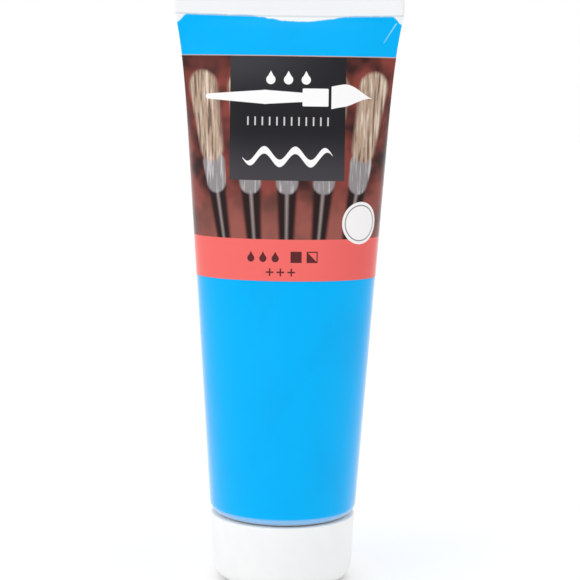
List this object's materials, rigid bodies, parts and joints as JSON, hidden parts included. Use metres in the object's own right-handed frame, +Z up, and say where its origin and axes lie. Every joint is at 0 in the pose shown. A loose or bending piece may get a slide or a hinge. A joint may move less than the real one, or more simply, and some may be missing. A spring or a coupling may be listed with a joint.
{
  "type": "paint tube",
  "caption": "Squeezable plastic paint tube standing on its wide screw cap, with a flat crimped end and a wrap label.",
  "frame": {"origin": "centre of the cap's flat closed end, which the tube stands on", "axes": "+Z up the tube from the cap to the crimp, X along the flat crimp, -Y out of the label's front"},
  "size_m": [0.0604, 0.0392, 0.1592],
  "materials": {
    "cap_plastic": "satin",
    "liner_foam": "matte",
    "head_plastic": "satin",
    "foil": "satin",
    "sleeve_plastic": "gloss",
    "paint": "satin",
    "label_film": "gloss"
  },
  "bodies": {
    "cap": {"cap": "cap_plastic"},
    "liner": {"cap_liner": "liner_foam"},
    "tube": {"tube_head": "head_plastic", "foil_seal": "foil", "tube_sleeve": "sleeve_plastic", "paint_fill": "paint", "wrap_label": "label_film"}
  },
  "joints": [
    {"name": "cap_turn", "type": "hinge", "parent": "cap", "child": "liner", "pos_m": [0, 0, 0.0022], "axis": [0, 0, 1], "range_deg": [0, 1080]},
    {"name": "thread_lift", "type": "slide", "parent": "liner", "child": "tube", "axis": [0, 0, 1], "range_m": [0, 0.012]}
  ],
  "couplings": [
    {"joint": "thread_lift", "follows": "cap_turn", "m_per_rad": 0.00063662}
  ]
}
